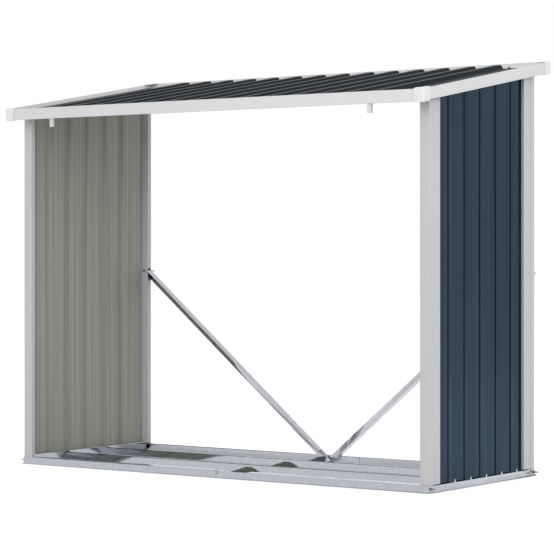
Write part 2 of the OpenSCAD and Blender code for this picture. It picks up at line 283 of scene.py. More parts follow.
def galvanised_steel():
    material, tree, shader = finish_of("galvanised steel strip", Metallic=1.0)
    place = add(tree, "ShaderNodeTexCoord")
    wobble = add(tree, "ShaderNodeTexNoise",
                 {"Vector": place.outputs["Object"], "Scale": 1 / (2 * SPANGLE), "Detail": 2.0})
    shifted = add(tree, "ShaderNodeVectorMath",
                  {0: wobble.outputs["Color"], 1: (SPANGLE,) * 3, 2: place.outputs["Object"]},
                  operation="MULTIPLY_ADD")
    crystal = add(tree, "ShaderNodeTexVoronoi",
                  {"Vector": shifted.outputs[0], "Scale": 1 / SPANGLE})
    shade = add(tree, "ShaderNodeSeparateColor", {"Color": crystal.outputs["Color"]})
    grey = add(tree, "ShaderNodeMix",
               {"Factor": shade.outputs["Red"], "A": linear("#b3b6bd"), "B": linear("#bcbfc5")},
               data_type="RGBA")
    dull = add(tree, "ShaderNodeMapRange",
               {"Value": shade.outputs["Green"], "To Min": 0.06, "To Max": 0.11})
    relief = add(tree, "ShaderNodeBump",
                 {"Height": shade.outputs["Blue"], "Strength": 0.03, "Distance": 0.05 * MM})
    join(tree, grey.outputs["Result"], shader, "Base Color")
    join(tree, dull.outputs["Result"], shader, "Roughness")
    join(tree, relief.outputs["Normal"], shader, "Normal")
    return material


GALVANISED = galvanised_steel()
print("finish:", GALVANISED.name)

# %% [markdown]
# ### White coated steel
#
# Posts and fascia are the same zinc strip with a white polyester coat baked on. Under glancing
# light such paint has a fine orange-peel skin, and its colour drifts by a per cent or two from
# coil to coil. The posts are given a slightly greyer white than the fascia as painted shade,
# because the same paint reads darker on the posts. The orange peel is drawn 4 mm across, coarser
# than the real 1 mm, so that it can be seen at all.

# %% White coated steel
ORANGE_PEEL = 4 * MM
COIL_DRIFT = 300 * MM


def coated_steel(name, light, dark, gloss, peel, **constants):
    """Paint on steel: two close shades in a slow drift, and an orange-peel skin."""
    material, tree, shader = finish_of(name, **constants)
    place = add(tree, "ShaderNodeTexCoord")
    drift = add(tree, "ShaderNodeTexNoise",
                {"Vector": place.outputs["Object"], "Scale": 1 / COIL_DRIFT, "Detail": 3.0})
    shade = add(tree, "ShaderNodeMix",
                {"Factor": drift.outputs["Fac"], "A": linear(dark), "B": linear(light)},
                data_type="RGBA")
    sheen = add(tree, "ShaderNodeMapRange",
                {"Value": drift.outputs["Fac"], "To Min": gloss - 0.03, "To Max": gloss + 0.03})
    skin = add(tree, "ShaderNodeTexNoise",
               {"Vector": place.outputs["Object"], "Scale": 1 / ORANGE_PEEL, "Detail": 1.0})
    relief = add(tree, "ShaderNodeBump",
                 {"Height": skin.outputs["Fac"], "Strength": peel, "Distance": 0.1 * MM})
    join(tree, shade.outputs["Result"], shader, "Base Color")
    join(tree, sheen.outputs["Result"], shader, "Roughness")
    join(tree, relief.outputs["Normal"], shader, "Normal")
    return material


# The posts' white is greyer only as painted shade: it is the same paint as the fascia's.
POST_WHITE_SHADED = coated_steel("white coated steel of the posts, greyed as painted shade", "#c6c6c7", "#c0c0c2", 0.34, 0.25)
FASCIA_WHITE = coated_steel("white coated steel of the fascia", "#dadadb", "#d6d6d8", 0.34, 0.25)
print("finishes:", POST_WHITE_SHADED.name, "and", FASCIA_WHITE.name)

# %% [markdown]
# ### Ribbed sheet
#
# Wall and roof sheets are thinner strip, painted in the coil and rolled to shape afterwards. The
# rolls leave faint streaks along the sheet, drawn by a noise that is stretched a hundred times that
# way. Wide thin sheet never lies quite flat, which shows as a slow wave in its reflections: a very
# broad bump does that, under the fine one of the orange peel.

# %% Ribbed sheet
SHEEN_DRIFT = 200 * MM
OIL_CANNING = 180 * MM
STREAK = 14 * MM
UP_THE_WALL = (1.0, 1.0, 0.01)
DOWN_THE_ROOF = (1.0, 0.01, 0.1)


def sheet_coat(name, light, dark, gloss, wave, along, **constants):
    """A coated wide sheet: streaks from the rolls, orange peel, and a broad wave under it."""
    material, tree, shader = finish_of(name, **constants)
    place = add(tree, "ShaderNodeTexCoord")
    drift = add(tree, "ShaderNodeTexNoise",
                {"Vector": place.outputs["Object"], "Scale": 1 / SHEEN_DRIFT, "Detail": 4.0})
    drawn = add(tree, "ShaderNodeVectorMath", {0: place.outputs["Object"], 1: along},
                operation="MULTIPLY")
    streak = add(tree, "ShaderNodeTexNoise",
                 {"Vector": drawn.outputs[0], "Scale": 1 / STREAK, "Detail": 2.0})
    streak = add(tree, "ShaderNodeMapRange",
                 {"Value": streak.outputs["Fac"], "From Min": 0.3, "From Max": 0.7})
    shade = add(tree, "ShaderNodeMix",
                {"Factor": streak.outputs["Result"], "A": linear(dark), "B": linear(light)},
                data_type="RGBA")
    sheen = add(tree, "ShaderNodeMapRange",
                {"Value": drift.outputs["Fac"], "To Min": gloss - 0.03, "To Max": gloss + 0.03})
    broad = add(tree, "ShaderNodeTexNoise",
                {"Vector": place.outputs["Object"], "Scale": 1 / OIL_CANNING, "Detail": 0.0})
    swell = add(tree, "ShaderNodeBump",
                {"Height": broad.outputs["Fac"], "Strength": wave, "Distance": 1.5 * MM})
    skin = add(tree, "ShaderNodeTexNoise",
               {"Vector": place.outputs["Object"], "Scale": 1 / ORANGE_PEEL, "Detail": 1.0})
    relief = add(tree, "ShaderNodeBump",
                 {"Height": skin.outputs["Fac"], "Strength": 0.12, "Distance": 0.1 * MM,
                  "Normal": swell.outputs["Normal"]})
    join(tree, shade.outputs["Result"], shader, "Base Color")
    join(tree, sheen.outputs["Result"], shader, "Roughness")
    join(tree, relief.outputs["Normal"], shader, "Normal")
    return material


print("streaks:", STREAK / MM, "mm across, waves:", OIL_CANNING / MM, "mm")

# %% [markdown]
# ### Coats of the walls and roof
#
# Both weather coats are anthracite. The walls' is glossy with a metallic depth, so it is metal in
# the shader, with a tint that keeps its glancing reflections dark. The roof's is duller, and is
# plain paint. The other side has a thin backing coat, olive-grey on the walls and slate-grey on
# the roof. The cut edges show bare zinc.

# %% Coats of the walls and roof
EDGE_TINT = (0.6, 0.6, 0.6, 1.0)
WALL_COAT = sheet_coat("anthracite coated wall sheet", "#394753", "#2f3b48", 0.08, 0.35,
                       UP_THE_WALL, Metallic=1.0, Specular_Tint=EDGE_TINT)
ROOF_COAT = sheet_coat("anthracite coated roof sheet", "#2a2f33", "#25292d", 0.42, 0.4,
                       DOWN_THE_ROOF, Specular_IOR_Level=0.02)
BACKING_COAT = sheet_coat("olive-grey backing coat", "#a2a498", "#8a8c80", 0.5, 0.3, UP_THE_WALL)
ROOF_BACKING = sheet_coat("slate-grey backing coat", "#a9b0b8", "#a2a9b1", 0.45, 0.3,
                          DOWN_THE_ROOF)
print("finishes:", WALL_COAT.name, "/", ROOF_COAT.name, "/", BACKING_COAT.name, "/",
      ROOF_BACKING.name)

# %% [markdown]
# ### Moulded plastic
#
# The corner caps are injection-moulded white polypropylene, brighter and more even than the paint.
# The mould was finished by sparks, which leaves a fine matt grain: one small noise gives both a
# faint change of tone and the bump. It is drawn 1.6 mm across, coarser than the real quarter of a
# millimetre, so that it can be seen at all.

# %% Moulded plastic
SPARK_TEXTURE = 1.6 * MM


def moulded_plastic():
    material, tree, shader = finish_of("white moulded polypropylene", Roughness=0.42)
    place = add(tree, "ShaderNodeTexCoord")
    grain = add(tree, "ShaderNodeTexNoise",
                {"Vector": place.outputs["Object"], "Scale": 1 / SPARK_TEXTURE, "Detail": 2.0})
    tone = add(tree, "ShaderNodeMix",
               {"Factor": grain.outputs["Fac"], "A": linear("#e3e3e4"), "B": linear("#e7e7e8")},
               data_type="RGBA")
    relief = add(tree, "ShaderNodeBump",
                 {"Height": grain.outputs["Fac"], "Strength": 0.3, "Distance": 0.08 * MM})
    join(tree, tone.outputs["Result"], shader, "Base Color")
    join(tree, relief.outputs["Normal"], shader, "Normal")
    return material


CAP_PLASTIC = moulded_plastic()
print("finish:", CAP_PLASTIC.name)

# %% [markdown]
# ### Zinc-plated steel
#
# Bolts, nuts and roof screws are plated in a bath of small parts, which leaves a thin, cloudy zinc:
# duller and a little darker than the dipped strip, and with no spangle. A cloud a few millimetres
# across shifts both its tone and its gloss.

# %% Zinc-plated steel
PLATING_CLOUD = 3 * MM


def plated_steel():
    material, tree, shader = finish_of("zinc-plated steel", Metallic=1.0)
    place = add(tree, "ShaderNodeTexCoord")
    cloud = add(tree, "ShaderNodeTexNoise",
                {"Vector": place.outputs["Object"], "Scale": 1 / PLATING_CLOUD, "Detail": 2.0})
    tone = add(tree, "ShaderNodeMix",
               {"Factor": cloud.outputs["Fac"], "A": linear("#8f959c"), "B": linear("#a9aeb4")},
               data_type="RGBA")
    dull = add(tree, "ShaderNodeMapRange",
               {"Value": cloud.outputs["Fac"], "To Min": 0.25, "To Max": 0.4})
    join(tree, tone.outputs["Result"], shader, "Base Color")
    join(tree, dull.outputs["Result"], shader, "Roughness")
    return material


PLATED = plated_steel()
print("finish:", PLATED.name)

# %% [markdown]
# ### Rubber
#
# The washers under the roof screws are black moulded rubber. Rubber scatters light so softly that
# its roughness is near the top of the scale, and a little dust, lighter than the rubber, gathers on
# it in patches.

# %% Rubber
DUST_PATCH = 2 * MM


def rubber():
    material, tree, shader = finish_of("black rubber washer", Specular_IOR_Level=0.4)
    place = add(tree, "ShaderNodeTexCoord")
    dust = add(tree, "ShaderNodeTexNoise",
               {"Vector": place.outputs["Object"], "Scale": 1 / DUST_PATCH, "Detail": 2.0})
    tone = add(tree, "ShaderNodeMix",
               {"Factor": dust.outputs["Fac"], "A": linear("#17181a"), "B": linear("#222426")},
               data_type="RGBA")
    dull = add(tree, "ShaderNodeMapRange",
               {"Value": dust.outputs["Fac"], "To Min": 0.7, "To Max": 0.85})
    join(tree, tone.outputs["Result"], shader, "Base Color")
    join(tree, dull.outputs["Result"], shader, "Roughness")
    return material


RUBBER = rubber()
print("finish:", RUBBER.name)

# %% [markdown]
# ## Folded members
#
# A rail, post, beam or brace is a strip of steel bent on a brake. Every fold has a radius of about
# the sheet's thickness, and that radius is what draws the bright line along a folded edge: a
# perfectly sharp edge reflects nothing. The frame has these pieces with sharp folds, so each one is
# copied, its loose triangles are merged into whole faces, and a Bevel modifier rounds it. Folds
# and cut edges want different radii. A cut edge can be told from a fold because one of its two
# faces is only as wide as the sheet is thick, so the bevel is weighted edge by edge.

# %% Whole faces and their widths
SHEET = 2 * MM
MERGE = 0.01 * MM


def face_width(face):
    """Roughly how wide a long face is: twice its area over its outline."""
    return 2 * face.calc_area() / sum(edge.calc_length() for edge in face.edges)


def whole_faces(source):
    """A bmesh copy of a frame piece, with its loose triangles merged into whole flat faces."""
    work = bmesh.new()
    work.from_mesh(source.data)
    bmesh.ops.remove_doubles(work, verts=work.verts, dist=MERGE)
    bmesh.ops.dissolve_limit(work, angle_limit=math.radians(0.5), verts=work.verts,
                             edges=work.edges)
    return work


print("strip:", SHEET / MM, "mm thick, corners merged within", MERGE / MM, "mm")

# %% [markdown]
# ### Rounding by edge weights
#
# A Bevel modifier can take its width from a weight on each edge, from none to the whole width. A
# fold gets the whole width, a cut edge only its share of it, and the shallow line between two
# nearly level faces gets none. Three segments make the fold read as round, and hardened normals
# keep the flats beside it flat. The modifier stays live, and an export bakes it into the mesh.

# %% Round the folds of a piece
FOLD_RADIUS = 1.6 * MM
CUT_RADIUS = 0.4 * MM
CUT_WIDTH = 1.3 * SHEET
NEARLY_LEVEL = math.radians(5)


def rounded_copy(node, finish, fold=FOLD_RADIUS, cut=CUT_RADIUS):
    """A copy of a frame piece with rounded folds and cut edges, standing for that piece."""
    work = whole_faces(NODES[node])
    weight = work.edges.layers.float.new("bevel_weight_edge")
    for edge in work.edges:
        if len(edge.link_faces) != 2 or edge.calc_face_angle() < NEARLY_LEVEL:
            continue
        narrow = min(face_width(face) for face in edge.link_faces)
        edge[weight] = 1.0 if narrow > CUT_WIDTH else cut / fold
    for face in work.faces:
        face.smooth = True
    mesh = bpy.data.meshes.new(node + "_folded")
    work.to_mesh(mesh)
    work.free()
    mesh.materials.append(finish)
    piece = bpy.data.objects.new(node + "_folded", mesh)
    bpy.context.scene.collection.objects.link(piece)
    bevel = piece.modifiers.new("fold radius", "BEVEL")
    bevel.limit_method = "WEIGHT"
    bevel.width = fold
    bevel.segments = 3
    bevel.use_clamp_overlap = False
    bevel.harden_normals = True
    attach(piece, "root")
    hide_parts(node)
    return piece


print("fold radius:", FOLD_RADIUS / MM, "mm, cut edge radius:", CUT_RADIUS / MM, "mm")

# %% [markdown]
# ### Base rails, straps and braces
#
# The base is galvanised strip: long rails and floor rails folded to channels, flat cross straps
# with a sloped gusset at their ends, and braces folded to angles. Rounding copies suits them all.
# The straps' gussets run out to a thin edge, which a wide bevel would swell into a cushion, so the
# straps get a smaller radius.

# %% Base rails, straps and braces
STRAP_RADIUS = 0.6 * MM
GALVANISED_NODES = sorted(n for n in NODES if "rail" in n or "strap" in n or "brace" in n)

for node in GALVANISED_NODES:
    radius = STRAP_RADIUS if node.endswith("_strap") else FOLD_RADIUS
    rounded_copy(node, GALVANISED, radius)
print("galvanised pieces:", len(GALVANISED_NODES))

# %% [markdown]
# ### Posts, fascia and tabs
#
# These are folded from white coated strip. A post is a closed box with a narrow lip, and on strips
# that narrow two wide bevels would meet and fold over, so the posts get half the radius. The fascia
# beams and the tabs that hang from the front one keep the full one.

# %% Posts, fascia beams and hanging tabs
POST_RADIUS = 0.8 * MM
WHITE_NODES = {
    # The posts take the white that is greyed as painted shade.
    **{n: POST_WHITE_SHADED for n in sorted(NODES) if n.endswith("_post")},
    **{n: FASCIA_WHITE for n in sorted(NODES) if n.endswith("_beam") or n.endswith("_tab")},
}

for node, finish in WHITE_NODES.items():
    radius = POST_RADIUS if node.endswith("_post") else FOLD_RADIUS
    rounded_copy(node, finish, radius)
print("white pieces:", len(WHITE_NODES))

# %% [markdown]
# ## Corner caps
#
# A cap is moulded, not folded, so all of its edges have about the same generous radius, and its
# walls are thicker than the strip. The same copying works, with one radius for every edge.

# %% Corner caps
CAP_RADIUS = 1.2 * MM
CAP_NODES = sorted(n for n in NODES if n.endswith("_cap"))

for node in CAP_NODES:
    rounded_copy(node, CAP_PLASTIC, CAP_RADIUS, CAP_RADIUS)
print("caps:", len(CAP_NODES))

# %% [markdown]
# ## A tree that makes ribbed sheet
#
# Ribbed sheet is rolled from flat strip: the same rib comes again at a fixed pitch across the
# sheet, and the section is the same from end to end. That rule is the whole shape, so Geometry
# Nodes make it. The tree takes the section of one rib, from the middle of one flat to the middle
# of the next, as a chain of six points. It sets copies side by side, welds them, moves the two end
# points out to the sheet's edges, rounds every bend, draws the line out to the sheet's length and
# gives it thickness. Because the face, the back and the cut edge are known at that moment, each
# gets its own finish there. One input skews the far end, for walls that end under a sloping roof.


# %% A geometry tree with named inputs
def geometry_tree(name, sizes):
    """A new Geometry Nodes tree with a named input for each size, and the node that gives them."""
    tree = bpy.data.node_groups.new(name, "GeometryNodeTree")
    tree.is_modifier = True
    tree.interface.new_socket("Geometry", in_out="OUTPUT", socket_type="NodeSocketGeometry")
    tree.interface.new_socket("Geometry", in_out="INPUT", socket_type="NodeSocketGeometry")
    for size, kind in sizes.items():
        tree.interface.new_socket(size, in_out="INPUT", socket_type="NodeSocket" + kind)
    return tree, tree.nodes.new("NodeGroupInput")


def grown(name, mesh, tree, values):
    """The plain object that a tree makes from a mesh, with the tree's inputs set to the values."""
    seed = bpy.data.objects.new(name + "_seed", mesh)
    bpy.context.scene.collection.objects.link(seed)
    modifier = seed.modifiers.new(tree.name, "NODES")
    modifier.node_group = tree
    for item in tree.interface.items_tree:
        if item.item_type == "SOCKET" and item.in_out == "INPUT" and item.name in values:
            modifier[item.identifier] = values[item.name]
    seed.update_tag()
    view = bpy.context.evaluated_depsgraph_get()
    made = bpy.data.meshes.new_from_object(seed.evaluated_get(view))
    made.name = name
    seed.modifiers.remove(modifier)
    bpy.data.objects.remove(seed)
    piece = bpy.data.objects.new(name, made)
    bpy.context.scene.collection.objects.link(piece)
    return piece


print("a tree's inputs are set by identifier, before the object is evaluated")

# %% [markdown]
# ### The row of ribs
#
# The first part of the tree lays the sheet's section. A line of points at the pitch carries one
# copy of the rib each, and welding joins the copies where their flats meet. The two ends of the
# chain are then the only points with a single neighbour, which is how the tree finds them and moves
# them out to the sheet's edges.

# %% The row of ribs
def rib_row(tree, size):
    """The sheet's section: one rib after another, welded, and ending at the sheet's edges."""
    start = add(tree, "ShaderNodeCombineXYZ", {"X": size["First rib"]})
    step = add(tree, "ShaderNodeCombineXYZ", {"X": size["Pitch"]})
    line = add(tree, "GeometryNodeMeshLine", {
        "Count": size["Ribs"], "Start Location": start.outputs[0], "Offset": step.outputs[0]})
    ribs = add(tree, "GeometryNodeInstanceOnPoints", {
        "Points": line.outputs[0], "Instance": size["Geometry"]})
    chain = add(tree, "GeometryNodeRealizeInstances", {0: ribs.outputs[0]})
    chain = add(tree, "GeometryNodeMergeByDistance", {0: chain.outputs[0], "Distance": MERGE})

    neighbours = add(tree, "GeometryNodeInputMeshVertexNeighbors")
    is_end = add(tree, "ShaderNodeMath", {0: neighbours.outputs["Vertex Count"], 1: 1.0, 2: 0.1},
                 operation="COMPARE")
    place = add(tree, "GeometryNodeInputPosition")
    axis = add(tree, "ShaderNodeSeparateXYZ", {0: place.outputs[0]})
    side = add(tree, "ShaderNodeMath", {0: axis.outputs["X"]}, operation="SIGN")
    side = add(tree, "ShaderNodeMath", {0: side.outputs[0], 1: size["Width"]},
               operation="MULTIPLY")
    side = add(tree, "ShaderNodeMath", {0: side.outputs[0], 1: 0.5}, operation="MULTIPLY")
    edge = add(tree, "ShaderNodeCombineXYZ", {"X": side.outputs[0]})
    chain = add(tree, "GeometryNodeSetPosition", {
        "Geometry": chain.outputs[0], "Selection": is_end.outputs[0],
        "Position": edge.outputs[0]})
    return chain.outputs[0]


print("the row of ribs:", rib_row.__doc__)

# %% [markdown]
# ### Bends and run
#
# Rolled ribs have round bends, so the section becomes a curve for a moment and its corners are
# filleted. Drawing an edge along the sheet turns each of its short lines into one long face, the
# fewest that the shape can have. The far end is then moved along by its place across the sheet,
# which cuts it at a slope.

# %% Bends and run
BEND_STEPS = 5


def drawn_out(tree, size, section):
    """The section with rounded bends, drawn out to the sheet's length and skewed at its far end."""
    bends = add(tree, "GeometryNodeMeshToCurve", {0: section})
    bends = add(tree, "GeometryNodeFilletCurve", {
        "Curve": bends.outputs[0], "Count": BEND_STEPS, "Radius": size["Bend radius"],
        "Limit Radius": True}, mode="POLY")
    profile = add(tree, "GeometryNodeCurveToMesh", {"Curve": bends.outputs[0]})
    run = add(tree, "ShaderNodeCombineXYZ", {"Y": size["Length"]})
    drawn = add(tree, "GeometryNodeExtrudeMesh", {
        "Mesh": profile.outputs[0], "Offset": run.outputs[0], "Offset Scale": 1.0}, mode="EDGES")
    place = add(tree, "GeometryNodeInputPosition")
    axis = add(tree, "ShaderNodeSeparateXYZ", {0: place.outputs[0]})
    rise = add(tree, "ShaderNodeMath", {0: axis.outputs["X"], 1: size["End skew"]},
               operation="MULTIPLY")
    rise = add(tree, "ShaderNodeCombineXYZ", {"Y": rise.outputs[0]})
    drawn = add(tree, "GeometryNodeSetPosition", {
        "Geometry": drawn.outputs["Mesh"], "Selection": drawn.outputs["Top"],
        "Offset": rise.outputs[0]})
    return drawn.outputs[0]


print("steps in each bend:", BEND_STEPS)

# %% [markdown]
# ### Thickness and finishes
#
# The drawn surface stays as the back. A flipped copy of it is raised by the sheet's thickness, and
# that step also makes the strips between the two, which are the cut edges. It marks which faces are
# which, so the three finishes can be set at once, and no other tool would know them again later.

# %% Thickness and finishes
def with_thickness(tree, size, back):
    """A solid sheet on its back surface, with a finish each for back, cut edges and face."""
    face = add(tree, "GeometryNodeFlipFaces", {0: back})
    raised = add(tree, "GeometryNodeExtrudeMesh", {
        "Mesh": face.outputs[0], "Offset Scale": size["Thickness"], "Individual": False},
        mode="FACES")
    shell = add(tree, "GeometryNodeJoinGeometry")
    tree.links.new(back, shell.inputs[0])
    tree.links.new(raised.outputs["Mesh"], shell.inputs[0])
    shell = add(tree, "GeometryNodeMergeByDistance", {0: shell.outputs[0], "Distance": MERGE})
    whole = add(tree, "GeometryNodeRealizeInstances", {0: shell.outputs[0]})
    whole = add(tree, "GeometryNodeSetMaterial", {
        "Geometry": whole.outputs[0], "Material": size["Back"]})
    whole = add(tree, "GeometryNodeSetMaterial", {
        "Geometry": whole.outputs[0], "Selection": raised.outputs["Side"],
        "Material": size["Cut edge"]})
    whole = add(tree, "GeometryNodeSetMaterial", {
        "Geometry": whole.outputs[0], "Selection": raised.outputs["Top"],
        "Material": size["Face"]})
    return whole.outputs[0]


print("thickness and finishes:", with_thickness.__doc__)

# %% [markdown]
# ### The whole tree
#
# The three parts follow each other, and the sizes that they read become the tree's named inputs.
# One tree then serves both walls and all three roof sheets.

# %% The ribbed sheet tree
SHEET_SIZES = {
    "Ribs": "Int", "Pitch": "Float", "First rib": "Float", "Width": "Float", "Length": "Float",
    "End skew": "Float", "Bend radius": "Float", "Thickness": "Float",
    "Face": "Material", "Back": "Material", "Cut edge": "Material",
}


def ribbed_sheet_tree():
    tree, given = geometry_tree("ribbed sheet", SHEET_SIZES)
    back = drawn_out(tree, given.outputs, rib_row(tree, given.outputs))
    whole = with_thickness(tree, given.outputs, back)
    add(tree, "NodeGroupOutput", {"Geometry": whole})
    return tree


RIBBED_SHEET = ribbed_sheet_tree()
print("ribbed sheet tree:", len(RIBBED_SHEET.nodes), "nodes")

# %% [markdown]
# ### One rib
#
# A rib is a low trapezium: a flat top, two sloped sides and half a flat on either side. Only its
# pitch and height differ between walls and roof, so six points worked out from those are the whole
# drawing, and every copy in the tree starts from them.

# %% The section of one rib
RIB_TOP = 30 * MM
RIB_FOOT = 46 * MM


def rib_section(pitch, height):
    """One rib as a chain of six points, from the middle of one flat to the middle of the next."""
    points = [(-pitch / 2, 0), (-RIB_FOOT / 2, 0), (-RIB_TOP / 2, height),
              (RIB_TOP / 2, height), (RIB_FOOT / 2, 0), (pitch / 2, 0)]
    mesh = bpy.data.meshes.new("rib section")
    mesh.from_pydata([(x, 0, z) for x, z in points],
                     [(i, i + 1) for i in range(len(points) - 1)], [])
    return mesh


print("rib:", RIB_TOP / MM, "mm across its top and", RIB_FOOT / MM, "mm across its foot")

# %% [markdown]
# ### A sheet in its place
#
# The tree makes each sheet lying flat at the origin, and the sheet's mesh is then turned to where
# it belongs, so that its object stays unturned. Bends are shaded smooth and cut edges sharp, and
# weighted normals keep the wide flats flat. A sheet has to stay inside the frame piece that it
# stands for, so each one measures how far it reaches past that piece's box.

# %% A ribbed sheet in its place
SKIN = 1.2 * MM
SHARP_SHEET = math.radians(40)


def past_box(piece, node):
    """How far a piece's points reach past a frame piece's box, or less than 0 if they don't."""
    low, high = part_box(node)
    points = [v.co for v in piece.data.vertices]
    return max(max(low[k] - min(p[k] for p in points), max(p[k] for p in points) - high[k])
               for k in range(3))


def ribbed_sheet(name, node, rib_height, placing, face_finish, **values):
    """A ribbed sheet that stands for a frame piece. Placing turns it from its own axes."""
    values = {"Thickness": SKIN, "Face": face_finish, "Back": BACKING_COAT,
              "Cut edge": GALVANISED, **values}
    values = {key.replace("_", " "): value for key, value in values.items()}
    piece = grown(name, rib_section(values["Pitch"], rib_height), RIBBED_SHEET, values)
    piece.data.transform(placing)
    for face in piece.data.polygons:
        face.use_smooth = True
    piece.data.set_sharp_from_angle(angle=SHARP_SHEET)
    flats = piece.modifiers.new("flats stay flat", "WEIGHTED_NORMAL")
    flats.keep_sharp = True
    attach(piece, "root")
    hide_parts(node)
    print(f"{name}: {len(piece.data.polygons)} faces,",
          f"{past_box(piece, node) / MM:.2f} mm outside its frame piece")
    return piece


print("wall and roof sheet:", SKIN / MM, "mm thick")

# %% [markdown]
# ## End walls
#
# Each end wall is one ribbed sheet set upright inside the posts, ribs outwards, with its top cut
# to the roof's slope. Seen from inside the store the ribs are troughs in the olive-grey backing
# coat. Both walls use the same sheet, so the same values make both, and only the sign of the skew
# and the turn into place differ.

# %% End walls
WALL_PITCH = 110 * MM
WALL_RIB_HEIGHT = 10 * MM
WALL_RIBS = 5
MIDDLE_RIB = 23 * MM
WALL_FIRST_RIB = MIDDLE_RIB - WALL_RIBS // 2 * WALL_PITCH
WALL_BEND = 2.5 * MM

front_low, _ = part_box("front_beam")
rear_low, rear_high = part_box("rear_beam")
ROOF_SLOPE = math.atan2(rear_low.z - front_low.z, rear_high.y - front_low.y)
print("roof slope:", round(math.degrees(ROOF_SLOPE), 2), "degrees")

for side, node in ((-1, "left_wall"), (1, "right_wall")):
    low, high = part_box(node)
    width = high.y - low.y
    length = high.z - low.z - width / 2 * math.tan(ROOF_SLOPE)
    inner = low.x if side > 0 else high.x
    # Own axes: X across the ribs, Y along them, Z the way the ribs stand
    placing = Matrix(((0, 0, side, inner), (side, 0, 0, 0), (0, 1, 0, low.z), (0, 0, 0, 1)))
    wall = ribbed_sheet(node + "_sheet", node, WALL_RIB_HEIGHT, placing, WALL_COAT,
                        Ribs=WALL_RIBS, Pitch=WALL_PITCH, First_rib=WALL_FIRST_RIB,
                        Width=width, Length=length, End_skew=side * math.tan(ROOF_SLOPE),
                        Bend_radius=WALL_BEND)

# %% [markdown]
# ## Roof sheets
#
# Three sheets lie side by side on the fascia's ledges, ribs up and running down the slope. The
# same tree makes them. The ribs are taller than the walls' and bent a little wider, the two outer
# sheets end in a wide flat, and the sheets meet in the flat between two ribs.

# %% Roof sheets
ROOF_PITCH = 114 * MM
ROOF_RIB_HEIGHT = 15 * MM
ROOF_BEND = 3.5 * MM
ROOF_RIBS = {"roof_sheet_left": 4, "roof_sheet_middle": 6, "roof_sheet_right": 4}

rib_lean = (ROOF_RIB_HEIGHT + SKIN) * math.sin(ROOF_SLOPE)

print("ribs on the roof:", sum(ROOF_RIBS.values()))

for node, ribs in ROOF_RIBS.items():
    low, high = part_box(node)
    run = (high.y - low.y - rib_lean) / math.cos(ROOF_SLOPE)
    middle = (low.x + high.x) / 2
    first = low.x + ROOF_PITCH / 2
    if node == "roof_sheet_left":
        first = high.x - (ribs - 0.5) * ROOF_PITCH
    placing = (Matrix.Translation((middle, low.y + rib_lean, low.z))
               @ Matrix.Rotation(ROOF_SLOPE, 4, "X"))
    roof = ribbed_sheet(node + "_ribbed", node, ROOF_RIB_HEIGHT, placing, ROOF_COAT,
                        Back=ROOF_BACKING, Ribs=ribs, Pitch=ROOF_PITCH, First_rib=first - middle,
                        Width=high.x - low.x, Length=run, End_skew=0.0, Bend_radius=ROOF_BEND)

# %% [markdown]
# ## Nuts, bolts and roof screws
#
# The frame goes together with M6 bolts, and the roof sheets are held to their ledges by hexagon
# screws over rubber washers. Each kind is one small tree. It builds the fixing upright from plain
# primitives, sets a copy on every point of a mesh, stands it along the direction that the point
# carries, and turns it by a seeded random angle, because nobody lines up hexagons. A few dozen
# faces each are enough at this size.


# %% Points that know their direction
def fixing_points(name, places):
    """A mesh of loose points, each with the direction its fixing stands in."""
    mesh = bpy.data.meshes.new(name + "_points")
    mesh.from_pydata([place for place, _ in places], [], [])
    aim = mesh.attributes.new("aim", "FLOAT_VECTOR", "POINT")
    for item, (_, direction) in zip(aim.data, places):
        item.vector = direction
    return mesh


print("a fixing's direction is stored on its point as 'aim'")

# %% [markdown]
# ### Copies on points
#
# Every fixing's tree ends alike, so its ending is written once. A rotation that turns Z to the
# stored direction stands the fixing up, and a random turn about its own axis comes before that.
# Realizing the copies and setting the material come last, since an export drops instances.

# %% Copies on points
def on_points(tree, given, fixing, material, seed):
    """The end of a fixing's tree: copies on the points, aimed, turned, and made real."""
    aim = add(tree, "GeometryNodeInputNamedAttribute", {"Name": "aim"}, data_type="FLOAT_VECTOR")
    turn = add(tree, "FunctionNodeRandomValue", {"Max": 2 * math.pi, "Seed": seed},
               data_type="FLOAT")
    spin = add(tree, "ShaderNodeCombineXYZ", {"Z": turn.outputs["Value"]})
    stand = add(tree, "FunctionNodeAlignRotationToVector", {"Vector": aim.outputs["Attribute"]},
                axis="Z")
    turned = add(tree, "FunctionNodeRotateRotation", {
        "Rotation": stand.outputs[0], "Rotate By": spin.outputs[0]}, rotation_space="LOCAL")
    copies = add(tree, "GeometryNodeInstanceOnPoints", {
        "Points": given.outputs["Geometry"], "Instance": fixing, "Rotation": turned.outputs[0]})
    real = add(tree, "GeometryNodeRealizeInstances", {0: copies.outputs[0]})
    painted = add(tree, "GeometryNodeSetMaterial", {
        "Geometry": real.outputs[0], "Material": material})
    add(tree, "NodeGroupOutput", {"Geometry": painted.outputs[0]})


print("an ending for every fixing's tree:", on_points.__doc__)

# %% [markdown]
# ### Stacked solids
#
# Washers, nuts, heads and thread ends are all short solids of revolution, one on top of the other,
# and a hexagon is one with six sides. A cone with two radii covers every one of them. All their
# sizes are near fixed multiples of the thread, so the trees work them out from that one length.

# %% Stacked solids
def length_times(tree, length, factor):
    """A length that is a multiple of another one."""
    return add(tree, "ShaderNodeMath", {0: length, 1: factor}, operation="MULTIPLY").outputs[0]


